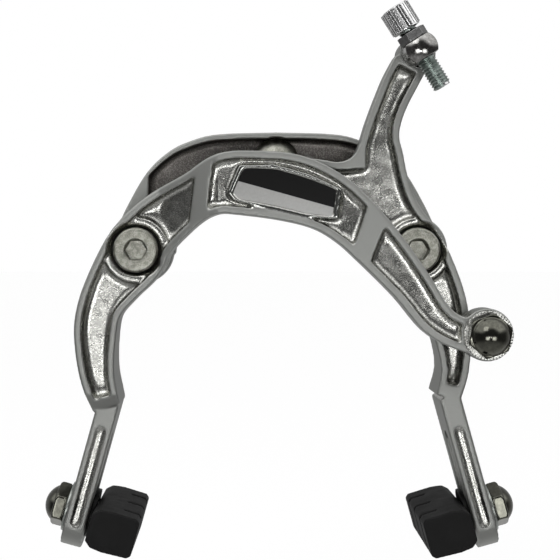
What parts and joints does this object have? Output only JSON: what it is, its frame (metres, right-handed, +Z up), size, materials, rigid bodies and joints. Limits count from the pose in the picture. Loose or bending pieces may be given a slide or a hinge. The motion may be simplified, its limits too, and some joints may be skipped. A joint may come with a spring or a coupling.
{
  "type": "long reach caliper brake",
  "caption": "Dual-pivot side-pull caliper brake with long slotted legs, a barrel adjuster, a cable anchor and rubber brake shoes.",
  "frame": {"origin": "on the axis of the centre mounting bolt, at the rear face of the spacer that seats on the bicycle frame", "axes": "+X to the right seen from the front, +Y to the rear along the mounting bolt, +Z up"},
  "size_m": [0.1216, 0.0711, 0.1399],
  "materials": {
    "cast_alloy": "polished casting with satin ground rims",
    "badge_foil": "two-tone foil, black over silver",
    "zinc_steel": "zinc plated",
    "bolt_steel": "matt zinc plated",
    "chrome": "polished",
    "spring_steel": "oiled wire",
    "bronze": "plain",
    "nylon": "plain",
    "pad_rubber": "moulded matt"
  },
  "bodies": {
    "frame": {"back_plate": "cast_alloy", "centre_bolt": "zinc_steel", "crown_spacer": "cast_alloy", "toothed_washer": "zinc_steel", "left_pivot_bolt": "bolt_steel", "right_pivot_bolt": "bolt_steel", "left_pivot_bush": "bronze", "right_pivot_bush": "bronze", "left_thrust_washer": "bronze", "right_thrust_washer": "bronze", "left_return_spring": "spring_steel", "right_return_spring": "spring_steel"},
    "left_arm": {"left_arm": "cast_alloy", "badge_plate": "badge_foil", "anchor_bolt": "zinc_steel", "clamp_washer": "zinc_steel", "anchor_dome_nut": "chrome"},
    "right_arm": {"right_arm": "cast_alloy", "sync_pin": "zinc_steel"},
    "sync_roller": {"sync_roller": "nylon"},
    "cable_stop": {"cable_stop": "chrome", "stop_clip": "spring_steel", "locknut": "zinc_steel"},
    "adjuster": {"barrel_adjuster": "zinc_steel"},
    "left_clamp": {"left_outer_washer": "zinc_steel", "left_inner_washer": "zinc_steel", "left_dome_nut": "chrome"},
    "left_shoe": {"left_shoe_stud": "zinc_steel", "left_pad": "pad_rubber"},
    "right_clamp": {"right_outer_washer": "zinc_steel", "right_inner_washer": "zinc_steel", "right_dome_nut": "chrome"},
    "right_shoe": {"right_shoe_stud": "zinc_steel", "right_pad": "pad_rubber"}
  },
  "joints": [
    {"name": "left_arm_pivot", "type": "hinge", "parent": "frame", "child": "left_arm", "pos_m": [-0.036, -0.0185, -0.0235], "axis": [0, -1, 0], "range_deg": [0, 14], "stiffness_Nm_per_rad": 0.5, "springref_deg": -22.92, "deforming": ["left_return_spring"]},
    {"name": "right_arm_pivot", "type": "hinge", "parent": "frame", "child": "right_arm", "pos_m": [0.036, -0.0172, -0.0235], "axis": [0, 1, 0], "range_deg": [0, 14], "stiffness_Nm_per_rad": 0.5, "springref_deg": -22.92, "deforming": ["right_return_spring"]},
    {"name": "sync_roller_spin", "type": "hinge", "parent": "right_arm", "child": "sync_roller", "pos_m": [0, -0.0236, -0.008], "axis": [0, 1, 0], "continuous": true},
    {"name": "cable_stop_swivel", "type": "hinge", "parent": "right_arm", "child": "cable_stop", "pos_m": [0.03575, -0.027, 0.0268], "axis": [0, 1, 0], "range_deg": [-20, 20]},
    {"name": "adjuster_travel", "type": "slide", "parent": "cable_stop", "child": "adjuster", "axis": [-0.5299, 0, 0.848], "range_m": [0, 0.005]},
    {"name": "left_shoe_height", "type": "slide", "parent": "left_arm", "child": "left_clamp", "axis": [0.2672, 0, 0.9636], "range_m": [-0.001, 0.0186]},
    {"name": "left_shoe_tilt", "type": "hinge", "parent": "left_clamp", "child": "left_shoe", "pos_m": [-0.05093, -0.0145, -0.091], "axis": [0.9636, 0, -0.2672], "range_deg": [-20, 20]},
    {"name": "right_shoe_height", "type": "slide", "parent": "right_arm", "child": "right_clamp", "axis": [-0.2672, 0, 0.9636], "range_m": [-0.001, 0.0186]},
    {"name": "right_shoe_tilt", "type": "hinge", "parent": "right_clamp", "child": "right_shoe", "pos_m": [0.05233, -0.0145, -0.091], "axis": [0.9636, 0, 0.2672], "range_deg": [-20, 20]}
  ],
  "couplings": [
    {"joint": "right_arm_pivot", "follows": "left_arm_pivot", "ratio": 1}
  ]
}
